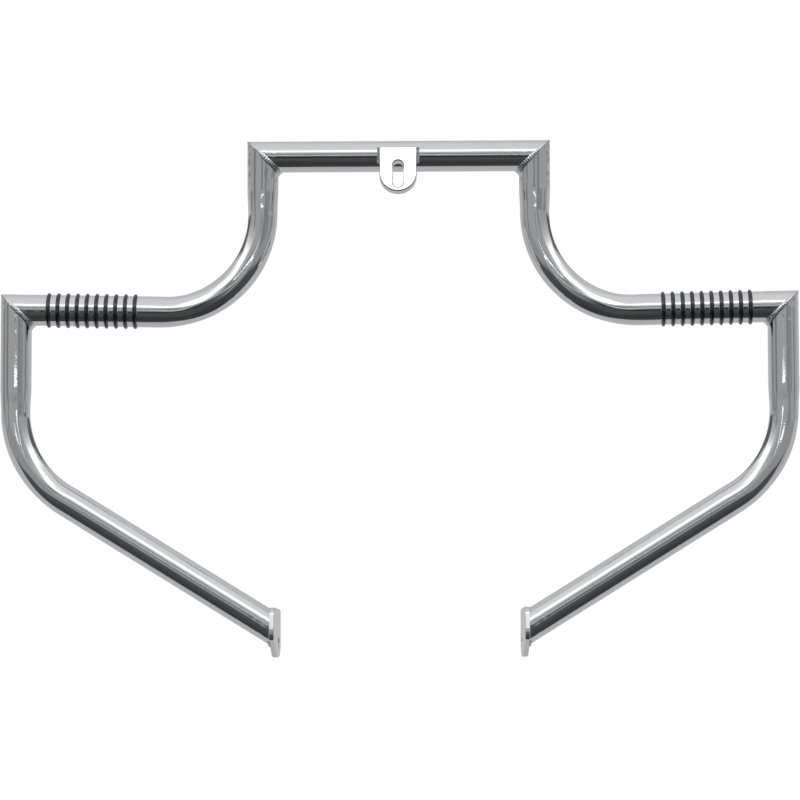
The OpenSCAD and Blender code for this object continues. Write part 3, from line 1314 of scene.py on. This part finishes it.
@dataclass(frozen=True)
class LightStand:
    """A dark upright stand in the room, which the chrome mirrors as a thin line along a tube.

    Angles are in degrees; dark is the share of the light that it takes away.
    """

    azimuth: float
    half_width: float
    dark: float
    low: float = -3.0
    top: float = 20.0
    soft: float = 0.4

    def shade(self, n: Nodes, azimuth: Socket, height: Socket) -> Socket:
        """Share of the light that is left in a direction.

        Args:
            n: The world's nodes.
            azimuth: The direction's azimuth.
            height: Its angle above the horizon.

        Returns:
            The share, 1 away from the stand.
        """
        off = n.math("ABSOLUTE", n.math("SUBTRACT", azimuth, self.azimuth))
        across = n.spread(off, self.half_width * 0.35, self.half_width * 1.3, self.dark, 0.0)
        low, top, soft = self.low, self.top, self.soft
        up = n.window(height, low - soft, low + soft, top - soft, top + soft)
        return n.math("SUBTRACT", 1.0, n.math("MULTIPLY", across, up))


FRONT_LIGHT = (
    (-90, 60), (-60, 50), (-40, 62), (-26, 74), (-15, 52), (-9, 34), (-4, 96), (0, 150), (14, 158),
    (20, 172), (25, 205), (29, 254), (38, 256), (41, 226), (46, 209), (60, 202), (90, 200),
)
BACK_LIGHT = ((-90, 165), (-40, 172), (0, 172), (30, 176), (60, 184), (90, 200))


@dataclass
class Studio:
    """The plain studio: light that depends only on its direction, a pale floor and the camera."""

    floor_drop: float = 1.3
    floor_reach: float = 30.0
    lens: float = 176.2
    distance: float = 4.0
    azimuth: float = 1.164
    pitch: float = 5.5
    roll: float = -0.143
    aim: Triple = (0.00087, 0.02199, -0.2268)
    softbox: float = 0.9
    back_panels: float = 0.78
    strip_place: Triple = (-0.03, -5.3, 0.315)
    strip_half: Pair = (1.15, 0.043)
    lamp_place: Triple = (0.4, -1.0, 3.0)
    lamp_aim: Triple = (0.0, 0.0, -0.3)
    lamp_size: float = 3.0
    lamp_power: float = 420.0
    stands: tuple[LightStand, ...] = (
        LightStand(-93, 12, 0.36, top=7.3),
        LightStand(-61, 9, 0.46),
        LightStand(-3, 8, 0.34, low=7.3),
        LightStand(27, 9, 0.38),
        LightStand(41, 6, 0.34, top=7.3),
        LightStand(53, 5, 0.36, top=7.3),
        LightStand(81, 8, 0.36, top=7.3),
    )

    def lights(self) -> None:
        """The world's light as a function of direction.

        Over the ring at eye level it follows the azimuth, with a few dark stands; above it a
        bright strip hangs under a pale ceiling, with a softbox in it; below, the room in front is
        dark and the sweep behind is pale. Two dark panels stand behind, to the left and the
        right, where the back of the tubes mirrors them. The camera itself sees plain white.
        """
        world = bpy.data.worlds.new("studio")
        bpy.context.scene.world = world
        n = Nodes(world)
        way = n.add("ShaderNodeTexCoord").outputs["Generated"]
        x, y, z = n.add("ShaderNodeSeparateXYZ", {}, Vector=way).outputs
        height = n.math("DEGREES", n.math("ARCSINE", z))
        azimuth = n.math("DEGREES", n.math("ARCTAN2", x, n.math("MULTIPLY", y, -1.0)))
        side_on = n.math("ABSOLUTE", azimuth)
        is_behind = n.spread(side_on, 84, 100, 0, 1)
        front, behind = (self.ramp(n, height, stops) for stops in (FRONT_LIGHT, BACK_LIGHT))
        level = n.blend(is_behind, front, behind)
        sunk = n.product(
            n.spread(side_on, 4, 15, 0, 1),
            n.window(height, -22, -14, -2, 2),
            n.spread(is_behind, 0, 1, 1, 0),
        )
        level = n.blend(sunk, level, from_screen(136))
        ring = n.spread(side_on, 92, 135, from_screen(150), from_screen(174))
        ring = n.product(ring, *(post.shade(n, azimuth, height) for post in self.stands))
        level = n.blend(n.window(height, -3, 1, 12, 18), level, ring)
        box = n.product(n.window(height, 30, 32, 34, 36.5), n.spread(side_on, 50, 75, 1, 0))
        level = n.math("ADD", level, n.math("MULTIPLY", box, self.softbox))
        panel = n.product(
            n.window(side_on, 101, 107, 156, 166), n.window(height, 8, 11, 27, 34), self.back_panels
        )
        level = n.math("MULTIPLY", level, n.math("SUBTRACT", 1.0, panel))
        green, blue = (n.math("MULTIPLY", level, share) for share in (1.004, 1.012))
        colour = n.add("ShaderNodeCombineColor", {}, Red=level, Green=green, Blue=blue).outputs[0]
        studio, plain = (
            n.add("ShaderNodeBackground", {}, Color=light, Strength=1.0).outputs[0]
            for light in (colour, (1, 1, 1, 1))
        )
        seen = n.add("ShaderNodeLightPath").outputs["Is Camera Ray"]
        mix = n.add("ShaderNodeMixShader", {}, i0=seen, i1=studio, i2=plain)
        n.add("ShaderNodeOutputWorld", {}, Surface=mix.outputs[0])

    def ramp(self, n: Nodes, angle: Socket, stops: tuple[Pair, ...]) -> Socket:
        """A light that runs straight from stop to stop.

        Args:
            n: The world's nodes.
            angle: The angle that it follows.
            stops: The stops as (degrees, screen value), in rising order.

        Returns:
            The light.
        """
        low, high, headroom = stops[0][0], stops[-1][0], 1.4
        share = n.math("DIVIDE", n.math("SUBTRACT", angle, low), high - low)
        curve = n.add("ShaderNodeFloatCurve", {}, Factor=1.0, Value=share)
        points = curve.mapping.curves[0].points
        while len(points) < len(stops):
            points.new(0.5, 0.5)
        for point, (degrees, value) in zip(points, stops):
            point.location = ((degrees - low) / (high - low), from_screen(value) / headroom)
            point.handle_type = "VECTOR"
        curve.mapping.update()
        return n.math("MULTIPLY", curve.outputs[0], headroom)

    def strip(self) -> None:
        """A long, low strip of light behind the camera, which the legs mirror as a white streak.

        Its outline is the ellipse (half width x cos a, half height x sin a).
        """
        a = turns(64)
        flat = [self.strip_half[0] * np.cos(a), 0 * a, self.strip_half[1] * np.sin(a)]
        corners = np.stack(flat, axis=-1) + np.array(self.strip_place)
        mesh = bpy.data.meshes.new("strip_light")
        mesh.from_pydata(corners.tolist(), [], [tuple(range(len(a)))])
        made = bpy.data.materials.new("strip_glow")
        n = Nodes(made)
        glow = n.add("ShaderNodeEmission", {}, Color=(1, 1, 1, 1), Strength=1.7)
        n.add("ShaderNodeOutputMaterial", {}, Surface=glow.outputs[0])
        card = placed("strip_light", mesh, made)
        card.visible_camera = card.visible_diffuse = card.visible_shadow = False

    def floor(self) -> None:
        """The pale floor, well below the hanging bar, which the chrome doesn't mirror."""
        reach, low = self.floor_reach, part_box("left_end_tab")[0][2] - self.floor_drop
        signs = ((-1, -1), (1, -1), (1, 1), (-1, 1))
        mesh = bpy.data.meshes.new("floor")
        mesh.from_pydata([(reach * i, reach * j, low) for i, j in signs], [], [(0, 1, 2, 3)])
        made = bpy.data.materials.new("floor_paint")
        Nodes(made).surface(Base_Color=(0.9, 0.9, 0.9, 1), Roughness=0.9)
        floor = placed("floor", mesh, made)
        floor.visible_glossy = False

    def lamp(self) -> None:
        """A large soft lamp overhead that lights the rubber and the floor and isn't mirrored."""
        data = bpy.data.lights.new("overhead_lamp", "AREA")
        data.shape, data.size, data.energy = "DISK", self.lamp_size, self.lamp_power
        lamp = bpy.data.objects.new("overhead_lamp", data)
        lamp.location = self.lamp_place
        look = Vector(self.lamp_aim) - Vector(self.lamp_place)
        lamp.rotation_euler = look.to_track_quat("-Z", "Y").to_euler()
        lamp.visible_glossy = False
        bpy.context.scene.collection.objects.link(lamp)

    def camera(self) -> None:
        """The camera, looking up at the bar from a little to the right of its middle."""
        psi, phi, rho = (math.radians(v) for v in (self.azimuth, self.pitch, self.roll))
        ahead = (-math.sin(psi) * math.cos(phi), math.cos(psi) * math.cos(phi), math.sin(phi))
        look = Vector(ahead)
        level = Vector((math.cos(psi), math.sin(psi), 0))
        above = level.cross(look)
        right = level * math.cos(rho) + above * math.sin(rho)
        up = right.cross(look)
        data = bpy.data.cameras.new("camera")
        data.lens, data.sensor_width = self.lens, 36.0
        data.clip_start, data.clip_end = 0.1, 100.0
        made = bpy.data.objects.new("camera", data)
        turned = Matrix((right, up, -look)).transposed().to_4x4()
        made.matrix_world = Matrix.Translation(Vector(self.aim) - look * self.distance) @ turned
        bpy.context.scene.collection.objects.link(made)
        bpy.context.scene.camera = made

    def build(self) -> None:
        """Sets up the camera, the light and the floor."""
        self.camera()
        self.lights()
        self.floor()
        self.strip()
        self.lamp()
        bpy.context.scene.view_settings.view_transform = "Standard"
        bpy.context.scene.view_settings.look = "None"


def finish_solids(weld: Material, rough: Material) -> None:
    """Gives the CAD solids that stay in the picture, which are all welds, their finish.

    Args:
        weld: The dressed welds' finish.
        rough: The centre tab weld's finish.
    """
    for name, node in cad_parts.items():
        if not node.hide_render:
            node.data.materials.clear()
            node.data.materials.append(rough if name == "centre_tab_weld" else weld)
            log.info("%s: CAD solid with a weld finish", name)


def main() -> None:
    """Builds the studio and every piece of the bar, and reports each."""
    logging.basicConfig(level=logging.INFO, format="%(name)s: %(message)s")
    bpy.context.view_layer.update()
    Studio().build()
    sizes, weld = BarSizes(), WeldFinish().material()
    chrome, rubber = ChromeFinish().material(), RubberFinish().material()
    TubeFrame(sizes, chrome).build()
    FootRings(sizes, rubber).build()
    Welds(sizes, weld).build()
    Tabs(sizes, chrome).build()
    finish_solids(weld, RoughWeldFinish().material())


if __name__ == "__main__":
    main()
